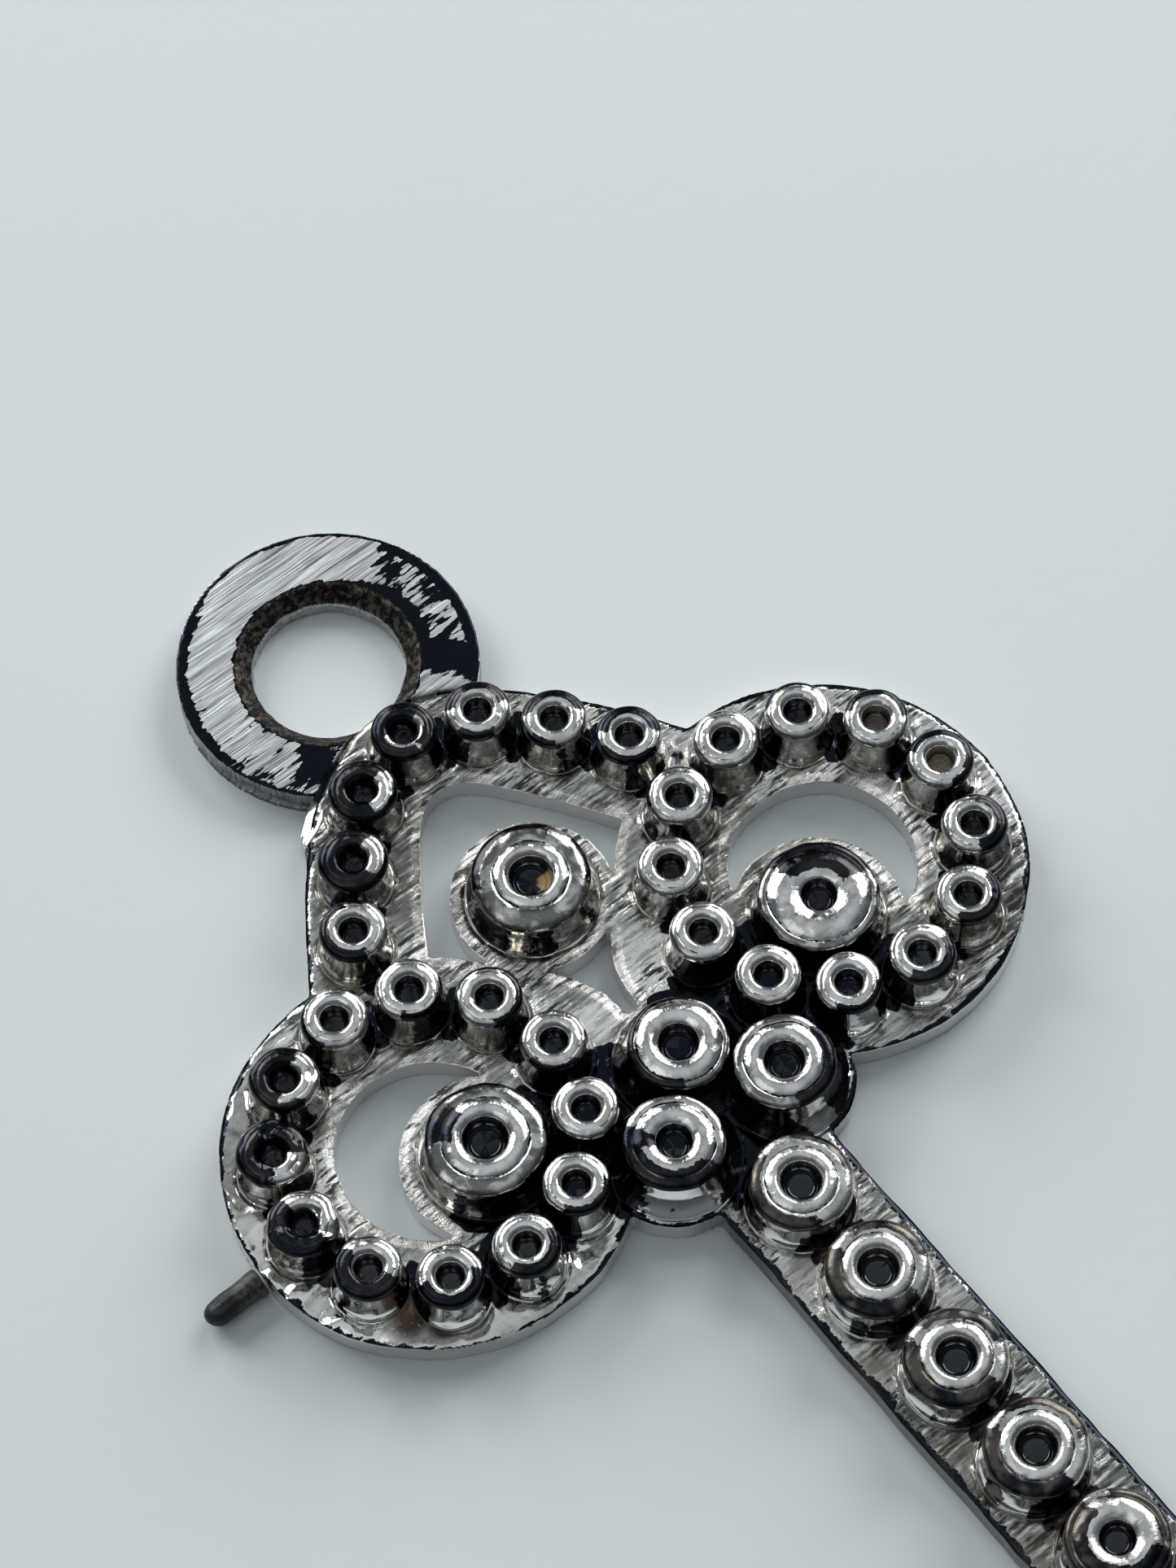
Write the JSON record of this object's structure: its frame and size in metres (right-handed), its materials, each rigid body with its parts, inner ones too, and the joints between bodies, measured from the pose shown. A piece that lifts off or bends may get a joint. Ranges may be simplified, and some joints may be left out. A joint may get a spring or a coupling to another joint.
{
  "type": "ornamental key pendant",
  "caption": "Flat metal key pendant with a round-lobed openwork bow, a chamfered hanging ring, a straight shaft and a small bit, covered with rows of dimpled spool-shaped studs.",
  "frame": {"origin": "middle of the neck, where the shaft leaves the bow, on the flat underside", "axes": "+Y along the key's axis towards the hanging ring, +Z out of the studded face, +X towards the side that the bit is on"},
  "size_m": [0.0268, 0.0524, 0.0023],
  "materials": {
    "plate_metal": "filed bright metal with dark recesses",
    "ring_metal": "filed flat with black unfiled patches",
    "stud_metal": "polished, partly blackened",
    "stub_oxide": "dark oxidised casting skin"
  },
  "bodies": {
    "root": {"key_plate": "plate_metal", "hanging_ring": "ring_metal", "gate_stub": "stub_oxide", "arch_stud_1": "stud_metal", "arch_stud_2": "stud_metal", "arch_stud_3": "stud_metal", "arch_stud_4": "stud_metal", "arch_stud_5": "stud_metal", "arch_stud_6": "stud_metal", "arch_stud_7": "stud_metal", "left_lobe_stud_01": "stud_metal", "left_lobe_stud_02": "stud_metal", "left_lobe_stud_03": "stud_metal", "left_lobe_stud_04": "stud_metal", "left_lobe_stud_05": "stud_metal", "left_lobe_stud_06": "stud_metal", "left_lobe_stud_07": "stud_metal", "left_lobe_stud_08": "stud_metal", "left_lobe_stud_09": "stud_metal", "left_lobe_stud_10": "stud_metal", "left_lobe_stud_11": "stud_metal", "left_lobe_stud_12": "stud_metal", "left_lobe_boss": "stud_metal", "cluster_stud_left": "stud_metal", "right_lobe_stud_01": "stud_metal", "right_lobe_stud_02": "stud_metal", "right_lobe_stud_03": "stud_metal", "right_lobe_stud_04": "stud_metal", "right_lobe_stud_05": "stud_metal", "right_lobe_stud_06": "stud_metal", "right_lobe_stud_07": "stud_metal", "right_lobe_stud_08": "stud_metal", "right_lobe_stud_09": "stud_metal", "right_lobe_stud_10": "stud_metal", "right_lobe_stud_11": "stud_metal", "right_lobe_stud_12": "stud_metal", "right_lobe_boss": "stud_metal", "cluster_stud_right": "stud_metal", "arch_boss": "stud_metal", "cluster_stud_top": "stud_metal", "shaft_stud_1": "stud_metal", "shaft_stud_2": "stud_metal", "shaft_stud_3": "stud_metal", "shaft_stud_4": "stud_metal", "shaft_stud_5": "stud_metal", "shaft_stud_6": "stud_metal", "shaft_stud_7": "stud_metal", "shaft_stud_8": "stud_metal", "shaft_stud_9": "stud_metal", "bit_stud_1_1": "stud_metal", "bit_stud_1_2": "stud_metal", "bit_stud_2_1": "stud_metal", "bit_stud_2_2": "stud_metal"}
  },
  "joints": []
}
